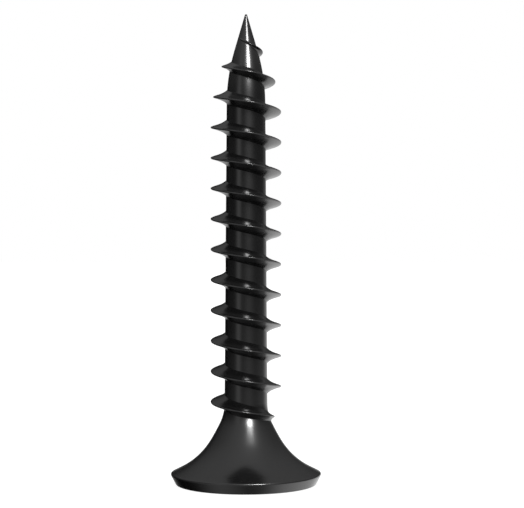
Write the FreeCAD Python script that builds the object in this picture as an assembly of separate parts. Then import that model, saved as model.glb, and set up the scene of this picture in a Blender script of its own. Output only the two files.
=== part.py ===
"""Bugle-head wood screw, 3.5 x 25 mm, with a coarse single-start thread.

The screw stands on the flat face of its head. The origin is the middle of that face, and +Z runs
up the screw's axis to the point. Lengths are millimetres. The real screw is one piece of steel,
so each node here is a region of it, and the regions meet face to face:

    head            flat face, rim, trumpet-shaped seat and the cross recess for the driver
    neck            the hollow fillet between the seat and the shank
    shank           the slightly tapered core that carries the thread
    point           the sharp cone that starts the hole
    thread_runout   where the thread fades away on the neck
    thread          the full-height thread
    point_thread    where the thread grows on the shank's end and the point
"""

import FreeCAD
import Part

import math
import os

# Overall
LENGTH = 25.0
AXIS = FreeCAD.Vector(0, 0, 1)
ORIGIN = FreeCAD.Vector(0, 0, 0)

# Head: corner sizes are to the sharp corners, which are then rounded
FACE_RADIUS = 3.73
RIM_CORNER_RADIUS = 4.025
RIM_HEIGHT = 0.56
SEAT_ANGLE = 63.0  # degrees from the axis, just inside the rim
THROAT_ANGLE = 28.5  # degrees from the axis, just below the neck
FACE_EDGE_ROUND = 0.06
RIM_ROUND = 0.08
FLARE_ROUND = 4.0
NECK_ROUND = 2.66

# Shank and point
NECK_CORNER_HEIGHT = 3.65
NECK_CORNER_RADIUS = 1.15
SHOULDER_HEIGHT = 21.70
SHOULDER_RADIUS = 1.02
SHOULDER_ROUND = 10.0
TIP_ROUND = 0.066

# Thread: single start, and left-handed, as it climbs clockwise seen from the point's side
PITCH = 1.623
HAND = -1  # -1 is left-handed, +1 is right-handed
CREST_RADIUS = 1.875
CREST_HALF_LAND = 0.025
UPPER_ROOT_HALF_WIDTH = 0.415  # flank towards the point
LOWER_ROOT_HALF_WIDTH = 0.385  # flank towards the head
FLANK_BEND_HEIGHT = 0.34  # share of the ridge's height where the flank's end tangents cross
FLANK_BEND_WIDTH = 0.45  # share of the root's half width at that height
FIRST_CREST_HEIGHT = 3.568  # height of the ridge's middle where it crosses the +X side
RUNOUT_END = 2.86  # the ridge is gone below this height
RUNOUT_FULL = 4.40  # and full from here up
POINT_FULL = 19.68  # the ridge is full up to this height
POINT_END = 23.95  # and gone from here up
POINT_FADE_POWER = 1.2
WIDTH_FADE_POWER = 0.55
LEAST_SHARE = 0.05  # the ridge stops where it is this share of its full height
POINTS_PER_TURN = 36

# Cross recess for a number 2 driver, sunk into the head's face
RECESS_WIDTH = 4.4  # across opposite wings, at the face
RECESS_BLADE_ANGLE = 26.5  # degrees from the axis
RECESS_FLOOR_WIDTH = 2.29
RECESS_FLOOR_ANGLE = 70.0  # degrees from the axis
WING_THICKNESS_AT_FACE = 1.10
WING_THICKNESS_AT_FLOOR = 0.70
WEB_WIDTH_AT_FACE = 2.20  # across the flats that chamfer the wings' inner corners
WEB_WIDTH_AT_FLOOR = 1.60
CUT_CLEARANCE = 0.5  # how far the cutting shape stands out of the face


def tangent_of(degrees):
    return math.tan(math.radians(degrees))


def flare_corner():
    """Where the seat's cone and the throat's cone would meet if nothing rounded them."""
    seat, throat = tangent_of(SEAT_ANGLE), tangent_of(THROAT_ANGLE)
    seat_at_zero = RIM_CORNER_RADIUS + seat * RIM_HEIGHT
    throat_at_zero = NECK_CORNER_RADIUS + throat * NECK_CORNER_HEIGHT
    height = (seat_at_zero - throat_at_zero) / (seat - throat)
    return seat_at_zero - seat * height, height


def rounded(corners, radii):
    """The outline through (radius, height) corners, each rounded by a tangent arc.

    Returns pieces in order. A piece is (start, end) for a line and (start, end, centre, radius)
    for an arc, with points as (radius, height). The first and last corners stay sharp.
    """
    pieces = []
    last = corners[0]
    for before, corner, after, radius in zip(corners, corners[1:], corners[2:], radii):
        into = (before[0] - corner[0], before[1] - corner[1])
        away = (after[0] - corner[0], after[1] - corner[1])
        into = tuple(x / math.hypot(*into) for x in into)
        away = tuple(x / math.hypot(*away) for x in away)
        half = math.acos(into[0] * away[0] + into[1] * away[1]) / 2
        reach = radius / math.tan(half)
        start = (corner[0] + into[0] * reach, corner[1] + into[1] * reach)
        end = (corner[0] + away[0] * reach, corner[1] + away[1] * reach)
        middle = (into[0] + away[0], into[1] + away[1])
        far = radius / math.sin(half) / math.hypot(*middle)
        centre = (corner[0] + middle[0] * far, corner[1] + middle[1] * far)
        pieces.append((last, start))
        pieces.append((start, end, centre, radius))
        last = end
    pieces.append((last, corners[-1]))
    return pieces


def point_cone():
    """The tip ball's centre height, and where the point's straight cone touches the ball.

    The cone runs from the shoulder corner to the ball, whose top is the screw's end.
    """
    centre = LENGTH - TIP_ROUND
    rise = centre - SHOULDER_HEIGHT
    span = math.hypot(SHOULDER_RADIUS, rise)
    slope = math.atan2(SHOULDER_RADIUS, rise) - math.asin(TIP_ROUND / span)
    touch = (TIP_ROUND * math.cos(slope), centre + TIP_ROUND * math.sin(slope))
    return centre, touch


TIP_CENTRE, TIP_TOUCH = point_cone()
OUTLINE = rounded(
    [
        (0.0, 0.0),
        (FACE_RADIUS, 0.0),
        (RIM_CORNER_RADIUS, RIM_HEIGHT),
        flare_corner(),
        (NECK_CORNER_RADIUS, NECK_CORNER_HEIGHT),
        (SHOULDER_RADIUS, SHOULDER_HEIGHT),
        TIP_TOUCH,
    ],
    [FACE_EDGE_ROUND, RIM_ROUND, FLARE_ROUND, NECK_ROUND, SHOULDER_ROUND],
)
OUTLINE.append((TIP_TOUCH, (0.0, LENGTH), (0.0, TIP_CENTRE), TIP_ROUND))
HEAD_PIECES = OUTLINE[0:7]
NECK_PIECES = OUTLINE[7:8]
SHANK_PIECES = OUTLINE[8:9]
POINT_PIECES = OUTLINE[9:]


def surface_radius(height):
    """The radius of the plain body, without its thread, at a height above the rim."""
    for piece in NECK_PIECES + SHANK_PIECES + POINT_PIECES + HEAD_PIECES[3:]:
        (r0, z0), (r1, z1) = piece[:2]
        if z0 <= height <= z1:
            if len(piece) == 2:
                return r0 + (r1 - r0) * (height - z0) / (z1 - z0)
            centre, radius = piece[2:]
            half_chord = math.sqrt(max(radius**2 - (height - centre[1]) ** 2, 0.0))
            return centre[0] + math.copysign(half_chord, r0 - centre[0])
    raise ValueError(f"no surface at height {height}")


def edge_of(piece):
    """The outline piece as an edge in the XZ plane."""
    (r0, z0), (r1, z1) = piece[:2]
    start, end = FreeCAD.Vector(r0, 0, z0), FreeCAD.Vector(r1, 0, z1)
    if len(piece) == 2:
        return Part.LineSegment(start, end).toShape()
    (rc, zc), radius = piece[2:]
    out = ((r0 + r1) / 2 - rc, (z0 + z1) / 2 - zc)
    far = radius / math.hypot(*out)
    bulge = FreeCAD.Vector(rc + out[0] * far, 0, zc + out[1] * far)
    return Part.Arc(start, bulge, end).toShape()


def turned(pieces):
    """The solid that a run of outline pieces makes when it is turned about the axis."""
    edges = [edge_of(piece) for piece in pieces]
    foot, top = pieces[0][0], pieces[-1][1]
    on_axis = [FreeCAD.Vector(0, 0, top[1]), FreeCAD.Vector(0, 0, foot[1])]
    corners = [FreeCAD.Vector(top[0], 0, top[1]), *on_axis, FreeCAD.Vector(foot[0], 0, foot[1])]
    for a, b in zip(corners, corners[1:]):
        if a.distanceToPoint(b) > 1e-9:
            edges.append(Part.LineSegment(a, b).toShape())
    face = Part.Face(Part.Wire(Part.__sortEdges__(edges)))
    return face.revolve(ORIGIN, AXIS, 360)


def tapered_block(low_outline, high_outline, low, high):
    """A solid with flat sides between two outlines of as many points at two heights."""
    ends = []
    for outline, height in ((low_outline, low), (high_outline, high)):
        points = [FreeCAD.Vector(x, y, height) for x, y in outline]
        ends.append(Part.makePolygon(points + points[:1]))
    return Part.makeLoft(ends, True, True)


def rectangle(half_x, half_y):
    return [(half_x, half_y), (-half_x, half_y), (-half_x, -half_y), (half_x, -half_y)]


def recess_cutter():
    """The cross recess as a solid: two crossed wings and a web, inside the driver's cone."""
    blade = tangent_of(RECESS_BLADE_ANGLE)
    depth = (RECESS_WIDTH - RECESS_FLOOR_WIDTH) / 2 / blade
    floor_rise = RECESS_FLOOR_WIDTH / 2 / tangent_of(RECESS_FLOOR_ANGLE)
    low, high = -CUT_CLEARANCE, depth + floor_rise

    cone = turned(
        [
            ((0.0, low), (RECESS_WIDTH / 2 - low * blade, low)),
            ((RECESS_WIDTH / 2 - low * blade, low), (RECESS_FLOOR_WIDTH / 2, depth)),
            ((RECESS_FLOOR_WIDTH / 2, depth), (0.0, high)),
        ]
    )

    def width_at(height, at_face, at_floor):
        return at_face + (at_floor - at_face) * height / depth

    half_wings = [
        width_at(height, WING_THICKNESS_AT_FACE, WING_THICKNESS_AT_FLOOR) / 2
        for height in (low, high)
    ]
    wings = [
        tapered_block(rectangle(*a), rectangle(*b), low, high)
        for a, b in (
            [(RECESS_WIDTH, half) for half in half_wings],
            [(half, RECESS_WIDTH) for half in half_wings],
        )
    ]
    # the web's flats face the diagonals, so its corners lie on the X and Y axes
    web_corners = [
        width_at(height, WEB_WIDTH_AT_FACE, WEB_WIDTH_AT_FLOOR) / math.sqrt(2)
        for height in (low, high)
    ]
    diamonds = [[(c, 0), (0, c), (-c, 0), (0, -c)] for c in web_corners]
    web = tapered_block(*diamonds, low, high)
    return cone.common(wings[0].multiFuse([wings[1], web]))


def ridge_share(height):
    """How much of its full height the thread has where its middle is at this height."""
    if height < RUNOUT_FULL:
        rise = max(0.0, (height - RUNOUT_END) / (RUNOUT_FULL - RUNOUT_END))
        return (1 - math.cos(math.pi * rise)) / 2
    if height > POINT_FULL:
        fall = min(1.0, (height - POINT_FULL) / (POINT_END - POINT_FULL))
        return 1 - fall**POINT_FADE_POWER
    return 1.0


def ridge_section(turn):
    """The ridge's outline in the half plane that the helix crosses after some turns.

    Returns (radius, height) control points, from the root nearer the head, over the crest, to
    the root nearer the point, and last the one that bends the inner face onto the body.
    """
    middle = FIRST_CREST_HEIGHT + PITCH * turn
    share = ridge_share(middle)
    lift = (CREST_RADIUS - surface_radius(middle)) * share
    spread = share**WIDTH_FADE_POWER
    lower, upper = LOWER_ROOT_HALF_WIDTH * spread, UPPER_ROOT_HALF_WIDTH * spread
    land = CREST_HALF_LAND * spread

    def above_body(offset, share_of_lift):
        height = middle + offset
        return surface_radius(height) + lift * share_of_lift, height

    low_root = above_body(-lower, 0)
    high_root = above_body(upper, 0)
    centre = middle + (upper - lower) / 2
    inner = 2 * surface_radius(centre) - (low_root[0] + high_root[0]) / 2
    return [
        low_root,
        above_body(-lower * FLANK_BEND_WIDTH, FLANK_BEND_HEIGHT),
        above_body(-land, 1),
        above_body(land, 1),
        above_body(upper * FLANK_BEND_WIDTH, FLANK_BEND_HEIGHT),
        high_root,
        (inner, centre),
    ]


def rail(turns, number):
    """The smooth curve that one of the section's control points follows up the helix."""
    points = []
    for turn in turns:
        radius, height = ridge_section(turn)[number]
        angle = HAND * 2 * math.pi * turn
        points.append(FreeCAD.Vector(radius * math.cos(angle), radius * math.sin(angle), height))
    curve = Part.BSplineCurve()
    curve.interpolate(Points=points, Parameters=list(turns))
    return curve


def strip(rails):
    """The surface whose sections are Bezier curves on the rails: 2 give lines, 3 parabolas."""
    poles = [list(row) for row in zip(*(curve.getPoles() for curve in rails))]
    degree = len(rails) - 1
    surface = Part.BSplineSurface()
    surface.buildFromPolesMultsKnots(
        poles,
        rails[0].getMultiplicities(),
        [degree + 1, degree + 1],
        rails[0].getKnots(),
        [0.0, 1.0],
        False,
        False,
        rails[0].Degree,
        degree,
    )
    return surface


def ridge(first_turn, last_turn):
    """A length of thread as a closed solid: lower flank, crest, upper flank, inner face, ends."""
    steps = math.ceil((last_turn - first_turn) * POINTS_PER_TURN)
    turns = [first_turn + (last_turn - first_turn) * i / steps for i in range(steps + 1)]
    rails = [rail(turns, number) for number in range(7)]
    strips = [
        strip(rails[0:3]),
        strip(rails[2:4]),
        strip(rails[3:6]),
        strip([rails[5], rails[6], rails[0]]),
    ]
    faces = [surface.toShape() for surface in strips]
    for turn in (turns[0], turns[-1]):
        edges = [surface.uIso(turn).toShape() for surface in strips]
        faces.append(Part.Face(Part.Wire(Part.__sortEdges__(edges))))
    skin = Part.Compound(faces)
    skin.sewShape()
    solid = Part.Solid(skin.Shells[0])
    if solid.Volume < 0:
        solid.reverse()
    return solid


def turn_at(height):
    return (height - FIRST_CREST_HEIGHT) / PITCH


def share_height(low, high, rising):
    """The height between low and high where the ridge has LEAST_SHARE of its height."""
    for _ in range(60):
        middle = (low + high) / 2
        if (ridge_share(middle) < LEAST_SHARE) == rising:
            low = middle
        else:
            high = middle
    return middle


def build():
    foot = turn_at(share_height(RUNOUT_END, RUNOUT_FULL, True))
    end = turn_at(share_height(POINT_FULL, POINT_END, False))
    full_from, full_to = turn_at(RUNOUT_FULL), turn_at(POINT_FULL)
    return {
        "head": turned(HEAD_PIECES).cut(recess_cutter()),
        "neck": turned(NECK_PIECES),
        "shank": turned(SHANK_PIECES),
        "point": turned(POINT_PIECES),
        "thread_runout": ridge(foot, full_from),
        "thread": ridge(full_from, full_to),
        "point_thread": ridge(full_to, end),
    }


os.makedirs("parts", exist_ok=True)
for node, shape in build().items():
    box = shape.BoundBox
    print(
        f"{node}: {len(shape.Solids)} solid, valid {shape.isValid()}, {shape.Volume:.3f} mm3,"
        f" height {box.ZMin:.3f} to {box.ZMax:.3f}, width {box.XLength:.3f}"
    )
    shape.exportStep(f"parts/{node}.step")
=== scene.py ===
"""Looks of the wood screw: black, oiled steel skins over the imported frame, in metres."""

import math

import bpy
import numpy as np
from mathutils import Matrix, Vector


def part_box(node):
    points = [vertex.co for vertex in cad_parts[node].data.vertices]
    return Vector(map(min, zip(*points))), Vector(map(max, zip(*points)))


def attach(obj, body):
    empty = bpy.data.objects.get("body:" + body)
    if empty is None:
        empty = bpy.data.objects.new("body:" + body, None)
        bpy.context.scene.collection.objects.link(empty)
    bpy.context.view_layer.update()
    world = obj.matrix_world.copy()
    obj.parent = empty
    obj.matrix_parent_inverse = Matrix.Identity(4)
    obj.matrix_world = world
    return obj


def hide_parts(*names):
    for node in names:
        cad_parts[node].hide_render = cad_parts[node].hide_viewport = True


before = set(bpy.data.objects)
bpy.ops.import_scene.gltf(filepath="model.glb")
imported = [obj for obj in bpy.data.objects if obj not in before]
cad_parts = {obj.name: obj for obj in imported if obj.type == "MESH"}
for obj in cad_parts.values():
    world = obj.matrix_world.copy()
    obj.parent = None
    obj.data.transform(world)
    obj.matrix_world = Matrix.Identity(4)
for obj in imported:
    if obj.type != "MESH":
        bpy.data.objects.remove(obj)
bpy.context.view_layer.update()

# ---- Head ---------------------------------------------------------------------------------------
# The end of the steel wire, upset cold in a die: a flat face, a short rim that leans outwards and
# a trumpet-shaped seat. A punch sinks the driver's cross into the face in the same blow.

MM = 0.001
FACE_RADIUS = 3.73 * MM
RIM_CORNER = (4.025 * MM, 0.56 * MM)
SEAT_SLOPE = math.tan(math.radians(63.0))
LOWER_THROAT_SLOPE = math.tan(math.radians(30.6))
UPPER_THROAT_SLOPE = math.tan(math.radians(26.4))
THROAT_BEND = (1.612 * MM, 2.78 * MM)
NECK_RADIUS = 1.15 * MM
SHOULDER_CORNER = (1.02 * MM, 21.70 * MM)
TIP_BALL = 0.066 * MM
CORNER_ROUNDS = [0.06 * MM, 0.08 * MM, 4.0 * MM, 11.0 * MM, 2.5 * MM, 10.0 * MM]
FACE_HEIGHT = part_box("head")[0].z
SCREW_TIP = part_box("point")[1].z

RECESS_HALF_WIDTH = 2.2 * MM
RECESS_FLOOR_RADIUS = 1.145 * MM
BLADE_SLOPE = math.tan(math.radians(26.5))
FLOOR_SLOPE = math.tan(math.radians(70.0))
WING_HALF = (0.55 * MM, 0.35 * MM)
WEB_HALF = (1.10 * MM, 0.80 * MM)
MOUTH_ROUND = 0.07 * MM
COLUMNS_PER_SPAN = (8, 14, 10)
LINE_POINTS, LAST_LINE_POINTS = 9, 33
HEAD_CAP_EDGE = 0.999
SHARP_FROM = math.radians(40)

# Colours of the black coat at its darkest and lightest, and of steel that shows through wear.
DARK = (0.0052, 0.0052, 0.0053, 1.0)
LIGHT = (0.0085, 0.0084, 0.0086, 1.0)
WORN = (0.07, 0.07, 0.072, 1.0)
CRYSTALS_PER_METRE, GRAINS_PER_METRE, SMEARS_PER_METRE = 42000.0, 30000.0, 900.0
OILED_ROUGHNESS = 0.225
WEAR_PEAK, WEAR_REACH = 1.4, 0.08 * MM


def rounded_outline(corners, rounds, turn_step=0.04):
    """Each corner of a polyline becomes the arc that touches both its sides: the arc's centre is
    where the bisector is radius / sin(half angle) from the corner. Returns one array of
    (radius, height) points for each straight and each arc, in order."""
    corners = np.array(corners)
    runs = []
    last = corners[0]
    for before, corner, after, radius in zip(corners, corners[1:], corners[2:], rounds):
        into = (before - corner) / np.linalg.norm(before - corner)
        away = (after - corner) / np.linalg.norm(after - corner)
        half = np.arccos(into @ away) / 2
        bisector = (into + away) / np.linalg.norm(into + away)
        centre = corner + bisector * radius / np.sin(half)
        start = corner + into * radius / np.tan(half)
        end = corner + away * radius / np.tan(half)
        sweep = np.pi - 2 * half
        share = np.linspace(0, 1, max(4, math.ceil(sweep / turn_step)) + 1)[:, None]
        spin = np.sin((1 - share) * sweep), np.sin(share * sweep)
        arc = centre + ((start - centre) * spin[0] + (end - centre) * spin[1]) / np.sin(sweep)
        runs += [np.linspace(last, start, LINE_POINTS), arc]
        last = end
    runs.append(np.linspace(last, corners[-1], LAST_LINE_POINTS))
    return runs


def screw_outline():
    """The half outline of the whole body without its thread: the seat's and the throat's cones
    cross at the flare's corner, the throat bends slightly on its way up to the neck, and the
    point's cone runs onto a small ball at the tip."""
    seat_zero = RIM_CORNER[0] + SEAT_SLOPE * RIM_CORNER[1]
    throat_zero = THROAT_BEND[0] + LOWER_THROAT_SLOPE * THROAT_BEND[1]
    flare_height = (seat_zero - throat_zero) / (SEAT_SLOPE - LOWER_THROAT_SLOPE)
    flare = (seat_zero - SEAT_SLOPE * flare_height, flare_height)
    neck = (NECK_RADIUS, THROAT_BEND[1] + (THROAT_BEND[0] - NECK_RADIUS) / UPPER_THROAT_SLOPE)
    ball = SCREW_TIP - TIP_BALL
    rise = ball - SHOULDER_CORNER[1]
    lean = math.atan2(SHOULDER_CORNER[0], rise)
    lean -= math.asin(TIP_BALL / math.hypot(SHOULDER_CORNER[0], rise))
    touch = (TIP_BALL * math.cos(lean), ball + TIP_BALL * math.sin(lean))
    face = (FACE_RADIUS, FACE_HEIGHT)
    corners = [(0.5 * FACE_RADIUS, FACE_HEIGHT), face, RIM_CORNER, flare, THROAT_BEND, neck]
    runs = rounded_outline([*corners, SHOULDER_CORNER, touch], CORNER_ROUNDS)
    angle = np.linspace(lean, np.pi / 2, 12)
    runs.append(np.stack([TIP_BALL * np.cos(angle), ball + TIP_BALL * np.sin(angle)], -1))
    return runs


def joined(runs):
    """The runs end to end, each shared point once."""
    return np.concatenate([runs[0], *(run[1:] for run in runs[1:])])


def cross_rings(depths):
    """The driver's cross at each depth, seen from the axis: the larger of a wing's and the web's
    reach, but no further out than the cone. A wing reaches half width / sin(angle), and the web
    c / (cos + sin). The corners stay in the same columns at every depth."""
    blade_depth = (RECESS_HALF_WIDTH - RECESS_FLOOR_RADIUS) / BLADE_SLOPE
    share = depths / blade_depth
    wing = WING_HALF[0] + (WING_HALF[1] - WING_HALF[0]) * share
    web = (WEB_HALF[0] + (WEB_HALF[1] - WEB_HALF[0]) * share) * math.sqrt(2)
    cone = np.where(
        share < 1,
        RECESS_HALF_WIDTH - BLADE_SLOPE * depths,
        RECESS_FLOOR_RADIUS - FLOOR_SLOPE * (depths - blade_depth),
    ).clip(1e-9)
    inner = np.arctan2(wing, web - wing)
    outer = np.minimum(np.arcsin((wing / cone).clip(0, 1)), 0.9 * inner)
    eighth = np.full_like(inner, math.pi / 4)
    angle = []
    lows, highs = (0 * inner, outer, inner), (outer, inner, eighth)
    for count, low, high in zip(COLUMNS_PER_SPAN, lows, highs):
        step = (1 - np.cos(np.pi * np.arange(count) / count)) / 2
        angle.append(low[:, None] + (high - low)[:, None] * step)
    angle = np.concatenate(angle, 1)
    mirror = math.pi / 2 - np.concatenate([eighth[:, None], angle[:, :0:-1]], 1)
    quarter = np.concatenate([angle, mirror], 1)
    around = np.concatenate([quarter + math.pi / 2 * turn for turn in range(4)], 1)
    folded = np.abs((around + math.pi / 4) % (math.pi / 2) - math.pi / 4).clip(1e-6)
    wings = wing[:, None] / np.sin(folded)
    webs = web[:, None] / (np.cos(folded) + np.sin(folded))
    reach = np.minimum(cone[:, None], np.maximum(wings, webs))
    ring = np.stack([reach * np.cos(around), reach * np.sin(around)], -1)
    for _ in range(2):
        ring = (np.roll(ring, 1, 1) + 2 * ring + np.roll(ring, -1, 1)) / 4
    return ring, around[0]


def head_grid():
    """Rings of points from the bottom of the cross, up its walls, over its rounded mouth, across
    the face, round the rim and up the seat to the neck, and in to the axis."""
    blade_depth = (RECESS_HALF_WIDTH - RECESS_FLOOR_RADIUS) / BLADE_SLOPE
    deepest = blade_depth + RECESS_FLOOR_RADIUS / FLOOR_SLOPE
    lip = np.linspace(0, np.pi / 2, 6)[:-1]
    walls = MOUTH_ROUND + (blade_depth - MOUTH_ROUND) * np.linspace(0, 1, 12)
    floor = blade_depth + (deepest - blade_depth) * np.linspace(0, 1, 9)[1:]
    depths = np.concatenate([MOUTH_ROUND * (1 - np.cos(lip)), walls, floor])
    flat, around = cross_rings(depths)
    spread = np.zeros(len(depths))
    spread[: len(lip)] = MOUTH_ROUND * (1 - np.sin(lip))
    length = np.linalg.norm(flat, axis=-1, keepdims=True).clip(1e-9)
    flat = flat * (1 + spread[:, None, None] / length)
    height = np.broadcast_to((FACE_HEIGHT + depths)[:, None, None], (*flat.shape[:2], 1))
    recess = np.concatenate([flat, height], -1)[::-1]
    outline = joined(HEAD_RUNS)
    outline = np.concatenate([outline, outline[-1:] * [HEAD_CAP_EDGE, 1], [[0, outline[-1, 1]]]])
    return np.concatenate([recess, turned(outline[1:], around)])


def turned(outline, around):
    """(radius, height) points swept round the axis: (r cos a, r sin a, z)."""
    radius, height = outline[:, 0, None], outline[:, 1, None]
    flat = [radius * np.cos(around), radius * np.sin(around)]
    return np.stack([*flat, np.broadcast_to(height, flat[0].shape)], -1)


def skin(name, grid, stands_for, wear):
    """A closed mesh on a grid of points, rows by columns. Columns wrap round, and the first and
    the last row each meet in one point. wear is 0 to 1 for each point, 1 on the proud edges."""
    rows, columns = grid.shape[:2]
    number = np.arange(rows * columns).reshape(rows, columns)
    number[0], number[-1] = number[0, 0], number[-1, 0]
    beside = np.roll(number, -1, axis=1)
    quads = np.stack([number[:-1], beside[:-1], beside[1:], number[1:]], -1)
    used, index = np.unique(quads, return_inverse=True)
    quads = index.reshape(quads.shape)
    points = grid.reshape(-1, 3)[used]
    corners = points[quads[1:-1]]
    diagonals = corners[..., 2, :] - corners[..., 0, :], corners[..., 3, :] - corners[..., 1, :]
    across = np.cross(*diagonals)
    if (across * corners.mean(-2)).sum() < 0:
        quads = quads[..., ::-1]
        first, last = quads[0][:, [0, 1, 2]], quads[-1][:, [0, 2, 3]]
    else:
        first, last = quads[0][:, [0, 2, 3]], quads[-1][:, [0, 1, 2]]
    mesh = bpy.data.meshes.new(name)
    faces = [*first.tolist(), *quads[1:-1].reshape(-1, 4).tolist(), *last.tolist()]
    mesh.from_pydata(points.tolist(), [], faces)
    layer = mesh.attributes.new("wear", "FLOAT", "POINT")
    layer.data.foreach_set("value", wear.reshape(-1)[used].astype(np.float32))
    mesh.shade_smooth()
    mesh.set_sharp_from_angle(angle=SHARP_FROM)
    piece = bpy.data.objects.new(name, mesh)
    bpy.context.scene.collection.objects.link(piece)
    mesh.materials.append(BLACK_STEEL)
    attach(piece, "root")
    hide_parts(*stands_for)


class Shade:
    """A shader socket. Arithmetic on it adds Math nodes, and add() makes any other node."""

    def __init__(self, tree, socket=None):
        self.tree = tree
        self.socket = socket

    def add(self, kind, settings=None, inputs=None, output=0):
        """A new node: its settings first, and then its sockets' values or links."""
        node = self.tree.nodes.new("ShaderNode" + kind)
        for name, value in (settings or {}).items():
            setattr(node, name, value)
        for name, value in (inputs or {}).items():
            if isinstance(value, Shade):
                self.tree.links.new(value.socket, node.inputs[name])
            else:
                node.inputs[name].default_value = value
        return Shade(self.tree, node.outputs[output] if node.outputs else None)

    def maths(self, operation, *values):
        return self.add("Math", {"operation": operation}, dict(enumerate(values)))

    def __add__(self, other):
        return self.maths("ADD", self, other)

    def __sub__(self, other):
        return self.maths("SUBTRACT", self, other)

    def __rsub__(self, other):
        return self.maths("SUBTRACT", other, self)

    def __mul__(self, other):
        return self.maths("MULTIPLY", self, other)

    def __truediv__(self, other):
        return self.maths("DIVIDE", self, other)

    def __neg__(self):
        return self.maths("MULTIPLY", self, -1.0)

    __radd__ = __add__
    __rmul__ = __mul__

    def ramp(self, low, high):
        """0 below low, 1 above high and an eased climb between."""
        inputs = {"Value": self, "From Min": low, "From Max": high}
        return self.add("MapRange", {"interpolation_type": "SMOOTHSTEP"}, inputs)


def black_steel():
    """Steel under black phosphate and oil: nearly black, with crystals a few hundredths of a
    millimetre across, slow smears in the oil, and proud edges that handling has polished."""
    material = bpy.data.materials.new("black_phosphated_steel")
    material.use_nodes = True
    tree = material.node_tree
    tree.nodes.clear()
    start = Shade(tree)
    place = start.add("TexCoord", output=3)
    crystals = start.add("TexVoronoi", {}, {"Vector": place, "Scale": CRYSTALS_PER_METRE})
    grain = start.add("TexNoise", {}, {"Vector": place, "Scale": GRAINS_PER_METRE, "Detail": 3.0})
    smears = start.add("TexNoise", {}, {"Vector": place, "Scale": SMEARS_PER_METRE, "Detail": 4.0})
    wear = start.add("Attribute", {"attribute_name": "wear"}, output=2)
    polished = wear * (0.55 + 0.9 * (smears - 0.5))
    tone = grain * 0.5 + smears * 0.5
    colour = start.add(
        "Mix",
        {"data_type": "RGBA"},
        {
            "Factor": tone.ramp(0.3, 0.7),
            "A": DARK,
            "B": LIGHT,
        },
        output=2,
    )
    colour = start.add(
        "Mix",
        {"data_type": "RGBA"},
        {"Factor": 0.12 * polished, "A": colour, "B": WORN},
        output=2,
    )
    roughness = OILED_ROUGHNESS + 0.06 * (smears - 0.5) + 0.05 * (grain - 0.5) - 0.05 * polished
    relief = 0.6 * grain + 0.4 * crystals
    bump = start.add("Bump", {}, {"Strength": 0.03, "Distance": 0.000004, "Height": relief})
    surface = start.add(
        "BsdfPrincipled",
        {},
        {"Base Color": colour, "Roughness": roughness, "IOR": 1.5, "Normal": bump},
    )
    start.add("OutputMaterial", {}, {"Surface": surface})
    return material


BLACK_STEEL = black_steel()
OUTLINE_RUNS = screw_outline()
HEAD_RUNS = OUTLINE_RUNS[0:9]


def rim_wear(grid):
    """1 within 0.03 mm of the rim's widest ring and of the edge of the face, 0 from 0.11 mm on:
    the peak less the distance over the reach, held between 0 and 1."""
    radius, height = np.hypot(grid[..., 0], grid[..., 1]), grid[..., 2]
    rim = np.hypot(radius - RIM_CORNER[0], height - RIM_CORNER[1])
    edge = np.hypot(radius - FACE_RADIUS, height - FACE_HEIGHT)
    return np.clip(WEAR_PEAK - np.minimum(rim, edge) / WEAR_REACH, 0, 1)


grid = head_grid()
skin("head_skin", grid, ["head"], rim_wear(grid))

# ---- Neck, shank and point ----------------------------------------------------------------------
# The same wire above the head: a hollow fillet, a core that narrows from 2.29 to 2.06 mm across
# on its way up, and a sharp point. Thread rolling leaves the core smooth between the turns.

AROUND = np.linspace(0, 2 * np.pi, 256, endpoint=False)
SEAM_SHARE = 0.02
CAP_EDGE = 0.99


def wire_grid(runs):
    """A length of the outline turned about the axis, closed by a flat disc at each end. A thin
    ring lies just inside each end, so the shading runs on across the seam."""
    side = joined(runs)
    side = np.insert(side, [1, len(side) - 1], [
        side[0] + (side[1] - side[0]) * SEAM_SHARE,
        side[-1] + (side[-2] - side[-1]) * SEAM_SHARE,
    ], axis=0)
    foot, top = side[0], side[-1]
    ends = [[0, foot[1]]], [foot * [CAP_EDGE, 1]], side
    if top[0] > 1e-9:
        ends = (*ends, [top * [CAP_EDGE, 1]], [[0, top[1]]])
    return turned(np.concatenate(ends), AROUND)


for name, node, runs in (
    ("neck_skin", "neck", OUTLINE_RUNS[9:10]),
    ("shank_skin", "shank", OUTLINE_RUNS[10:11]),
    ("point_skin", "point", OUTLINE_RUNS[11:]),
):
    grid = wire_grid(runs)
    skin(name, grid, [node], np.zeros(grid.shape[:2]))

# ---- Thread -------------------------------------------------------------------------------------
# One left-handed ridge that flat dies roll out of the wire. It fades in on the neck, keeps its
# height along the shank and shrinks to nothing on the point. Its flanks run into the core with no
# fillet between.

PITCH = 1.623 * MM
CREST_RADIUS = 1.885 * MM
CREST_LAND = (0.06 * MM, 0.03 * MM)
LOWER_HALF, UPPER_HALF = 0.395 * MM, 0.38 * MM
BEND_HEIGHT, BEND_WIDTH = 0.34, 0.45
FIRST_CREST = 3.568 * MM
RUNOUT = (2.86 * MM, 4.40 * MM)
FADE = (19.68 * MM, 23.82 * MM)
ROOT_DEPTH = 0.08
SUNK = 0.03 * MM
FADED_SINK = 0.01 * MM
LEAST_SUNK_SHARE = 0.2
FADE_POWERS = (1.25, 12)
LEAST_SHARE, WIDTH_POWER = 0.02, 0.55
CORNER_MEETS = [0.45, 0.90, 0.6, 0.42, 0.55]
CURVE_STEPS = 6
END_NUDGE = 0.02
WORN_FROM, WORN_SPAN = 0.9, 0.1
STEPS_PER_TURN = 160
BODY = joined(OUTLINE_RUNS[4:])


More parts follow.
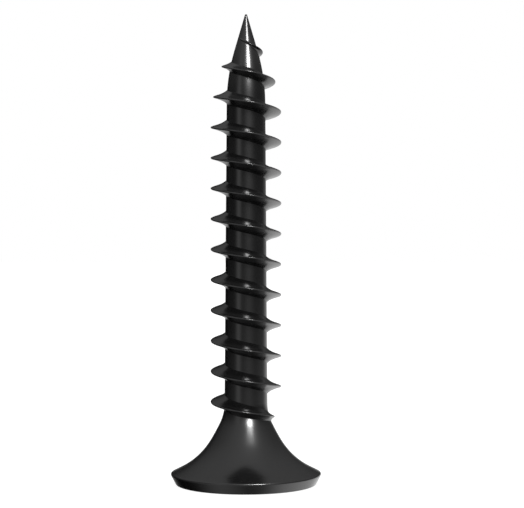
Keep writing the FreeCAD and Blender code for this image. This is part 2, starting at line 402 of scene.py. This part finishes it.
def ridge_share(height):
    """The ridge's share of its full height: half a cosine wave up over the run-out, then 1, then
    (1 - way ^ 1.25)(1 - way ^ 12), where way is the share of the fade that has passed."""
    rise = np.clip((height - RUNOUT[0]) / (RUNOUT[1] - RUNOUT[0]), 0, 1)
    fall = np.clip((height - FADE[0]) / (FADE[1] - FADE[0]), 0, 1)
    low, high = FADE_POWERS
    return (1 - np.cos(np.pi * rise)) / 2 * (1 - fall**low) * (1 - fall**high)


def ridge_grid(low, high):
    """Sections of the ridge every 1/160 turn between two heights. A section is a control polygon
    in (offset along the axis, share of the ridge's height), and a parabola rounds each corner.
    A point is at the body's radius at its own height, plus its share of the ridge's height. The
    ridge's height is ridge_share of the rise to the crest, less a little where it has faded."""
    first, last = (low - FIRST_CREST) / PITCH, (high - FIRST_CREST) / PITCH
    turn = np.linspace(first, last, math.ceil((last - first) * STEPS_PER_TURN) + 1)
    nudge = END_NUDGE / STEPS_PER_TURN
    turn = np.insert(turn, [1, len(turn) - 1], [first + nudge, last - nudge])
    middle = FIRST_CREST + PITCH * turn
    share = ridge_share(middle)
    body = np.interp(middle, BODY[:, 1], BODY[:, 0])
    lift = (CREST_RADIUS - body) * share - FADED_SINK * (1 - share)
    spread = np.maximum(share, LEAST_SHARE) ** WIDTH_POWER
    lower, upper = LOWER_HALF * spread, UPPER_HALF * spread
    root = 1 + ROOT_DEPTH * (1 - BEND_WIDTH) / BEND_HEIGHT
    one = np.ones_like(turn)
    polygon = [
        (-lower * root, -ROOT_DEPTH * one),
        (-lower * BEND_WIDTH, BEND_HEIGHT * one),
        (-CREST_LAND[0] * spread, one),
        (CREST_LAND[1] * spread, one),
        (upper * BEND_WIDTH, BEND_HEIGHT * one),
        (upper * root, -ROOT_DEPTH * one),
    ]
    polygon = np.array(polygon).transpose(2, 0, 1)
    meet = np.array(CORNER_MEETS)[:, None]
    joint = polygon[:, :-1] * (1 - meet) + polygon[:, 1:] * meet
    t = np.linspace(0, 1, CURVE_STEPS + 1)[None, None, :-1, None]
    begin, corner, end = joint[:, :-1, None], polygon[:, 1:-1, None], joint[:, 1:, None]
    curve = (1 - t) ** 2 * begin + 2 * t * (1 - t) * corner + t**2 * end
    curve = curve.reshape(len(turn), -1, 2)
    section = np.concatenate([polygon[:, :1], curve, joint[:, -1:], polygon[:, -1:]], 1)
    height = middle[:, None] + section[..., 0]
    radius = np.interp(height, BODY[:, 1], BODY[:, 0]) + lift[:, None] * section[..., 1]
    sunk = np.interp(height[:, [-1, 0]], BODY[:, 1], BODY[:, 0]) - SUNK
    height = np.concatenate([height, height[:, [-1, 0]]], 1)
    radius = np.concatenate([radius, np.maximum(sunk, LEAST_SUNK_SHARE * radius[:, :1])], 1)
    angle = -2 * np.pi * turn[:, None]
    grid = np.stack([radius * np.cos(angle), radius * np.sin(angle), height], -1)
    proud = np.concatenate([section[..., 1], np.zeros((len(turn), 2))], 1)
    ends = grid[[0, -1]].mean(1, keepdims=True) + 0 * grid[[0, -1]]
    grid = np.concatenate([ends[:1], grid, ends[1:]])
    proud = np.concatenate([proud[:1], proud, proud[-1:]])
    return grid, np.clip((proud - WORN_FROM) / WORN_SPAN, 0, 1)


for name, node, low, high in (
    ("thread_runout_skin", "thread_runout", RUNOUT[0], RUNOUT[1]),
    ("thread_skin", "thread", RUNOUT[1], FADE[0]),
    ("point_thread_skin", "point_thread", FADE[0], FADE[1]),
):
    grid, wear = ridge_grid(low, high)
    skin(name, grid, [node], wear)

# ---- Stage, light and camera --------------------------------------------------------------------
# The screw stands on its face on a plain white table, with a small softbox in front, a little to
# the right. Its gloss mirrors a white sky, light strips in front and to the left, and a table that
# is brightest on the right.

VIEW_DISTANCE = 77.58 * MM
VIEW_LENS = 100.0
VIEW_HEIGHT = 12.22 * MM
VIEW_SIDE = 0.853 * MM
KEY_TURN, KEY_RISE = math.radians(20.0), math.radians(35.0)
KEY_DISTANCE = 0.5
KEY_SIZE = (0.15, 0.14)
KEY_RADIANCE = 60.0

TABLE_HALF = 2.0
TABLE_GREY, TABLE_GLOW = 0.4, 0.85
# Of each mirrored strip: its strength, its middle in degrees to the right, and its half width.
LEFT_STRIP, FRONT_STRIP = (1.0, -41, 13.5), (0.29, 14, 26)
STRIP_FLOOR = 0.045
FRONT_SKY, BACK_SKY = 0.97, 0.87
HAZE_STRENGTH, HAZE_TURN, HAZE_RISE = 2.8, 20.0, 30
HAZE_ACROSS, HAZE_UP = 0.81 / 19, 14


def table_top():
    """A flat square, 4 m across, at the height of the face. Only the camera sees its glow, which
    therefore throws no light on the screw, and the gloss doesn't mirror it."""
    mesh = bpy.data.meshes.new("table_top")
    half = TABLE_HALF
    flat = [(-half, -half, 0.0), (half, -half, 0.0), (half, half, 0.0), (-half, half, 0.0)]
    mesh.from_pydata(flat, [], [(0, 1, 2, 3)])
    material = bpy.data.materials.new("white_table")
    material.use_nodes = True
    tree = material.node_tree
    tree.nodes.clear()
    start = Shade(tree)
    grey = start.add("BsdfDiffuse", {}, {"Color": (TABLE_GREY, TABLE_GREY, TABLE_GREY, 1.0)})
    glow = start.add("Emission", {}, {"Strength": TABLE_GLOW})
    lit = start.add("AddShader", {}, {0: grey, 1: glow})
    seen = start.add("LightPath", output=0)
    surface = start.add("MixShader", {}, {0: seen, 1: grey, 2: lit})
    start.add("OutputMaterial", {}, {"Surface": surface})
    mesh.materials.append(material)
    top = bpy.data.objects.new("table_top", mesh)
    bpy.context.scene.collection.objects.link(top)
    top.visible_glossy = False


def studio():
    """The room that the gloss mirrors, by direction: turn is degrees to the right of the front,
    and rise is degrees above the horizon. Every other kind of ray meets plain white."""
    world = bpy.data.worlds.new("studio")
    world.use_nodes = True
    tree = world.node_tree
    tree.nodes.clear()
    start = Shade(tree)
    direction = start.add("TexCoord")
    parts = [start.add("SeparateXYZ", {}, {"Vector": direction}, output=i) for i in range(3)]
    turn = start.maths("ARCTAN2", parts[0], -parts[1]) * (180 / math.pi)
    turn = start.maths("FLOORED_MODULO", turn + 120, 360.0) - 120
    rise = start.maths("ARCSINE", parts[2]) * (180 / math.pi)

    def bell(centre, width):
        away = (turn - centre) / width
        return start.maths("EXPONENT", -(away * away))

    facing = 0.5 + 0.5 * start.maths("COSINE", turn * (math.pi / 180))
    front_sky = rise.ramp(2, 50)
    back_sky = start.maths("POWER", rise.maths("MAXIMUM", rise, 0.0) / 85, 1.5)
    left_back = turn.ramp(175, 190) * (1 - turn.ramp(205, 238)) * (1 - rise.ramp(8, 28))
    back_sky = back_sky * (1 - 0.85 * left_back)
    sky = FRONT_SKY * facing * front_sky + BACK_SKY * (1 - facing) * back_sky
    strips = LEFT_STRIP[0] * bell(*LEFT_STRIP[1:]) + FRONT_STRIP[0] * bell(*FRONT_STRIP[1:])
    strips = strips + 0.06 * turn.ramp(-80, 30)
    strips = (STRIP_FLOOR + strips) * (1 - front_sky) * (1 - turn.ramp(120, 180))
    right_back = turn.ramp(98, 140)
    table = 0.75 + 1.1 * turn.ramp(40, 95) - 0.6 * turn.ramp(105, 150)
    table = table * turn.ramp(-115, -55) * (1 - turn.ramp(160, 215))
    table = table * (1 - 0.92 * (-rise).ramp(50, 68) * bell(14, 46))
    below = (-rise).ramp(-2 - 6 * right_back, 22 - 14 * right_back)
    across, up = (turn - HAZE_TURN) * HAZE_ACROSS, (rise - HAZE_RISE) / HAZE_UP
    haze = HAZE_STRENGTH * start.maths("EXPONENT", -(across * across + up * up))
    light = sky + strips * (1 - below) + table * below + haze
    gloss = start.add("LightPath", output=3)
    room = start.add("Background", {}, {"Color": (1, 1, 1, 1), "Strength": light})
    white = start.add("Background", {}, {"Color": (1, 1, 1, 1), "Strength": 1.0})
    both = start.add("MixShader", {}, {0: gloss, 1: white, 2: room})
    start.add("OutputWorld", {}, {"Surface": both})
    bpy.context.scene.world = world


def softbox():
    """A rectangular light that faces the screw. Its power gives the wanted radiance: an even
    panel of area A sends out pi * A * radiance watts."""
    light = bpy.data.lights.new("softbox", "AREA")
    light.shape = "RECTANGLE"
    light.size, light.size_y = KEY_SIZE
    light.energy = math.pi * KEY_SIZE[0] * KEY_SIZE[1] * KEY_RADIANCE
    lamp = bpy.data.objects.new("softbox", light)
    bpy.context.scene.collection.objects.link(lamp)
    flat = KEY_DISTANCE * math.cos(KEY_RISE)
    lamp.location = (
        flat * math.sin(KEY_TURN),
        -flat * math.cos(KEY_TURN),
        KEY_DISTANCE * math.sin(KEY_RISE) + 0.5 * SCREW_TIP,
    )
    lamp.rotation_euler = (math.pi / 2 - KEY_RISE, 0.0, KEY_TURN)
    lamp.visible_camera = False
    lamp.visible_diffuse = False


def camera():
    """A long lens that looks straight along +Y, level with the middle of the screw."""
    data = bpy.data.cameras.new("camera")
    data.lens = VIEW_LENS
    data.sensor_width = 36.0
    data.clip_start = 0.001
    data.clip_end = 10.0
    eye = bpy.data.objects.new("camera", data)
    bpy.context.scene.collection.objects.link(eye)
    eye.location = (VIEW_SIDE, -VIEW_DISTANCE, VIEW_HEIGHT)
    eye.rotation_euler = (math.pi / 2, 0.0, 0.0)
    bpy.context.scene.camera = eye


table_top()
studio()
softbox()
camera()
bpy.context.scene.view_settings.view_transform = "Standard"
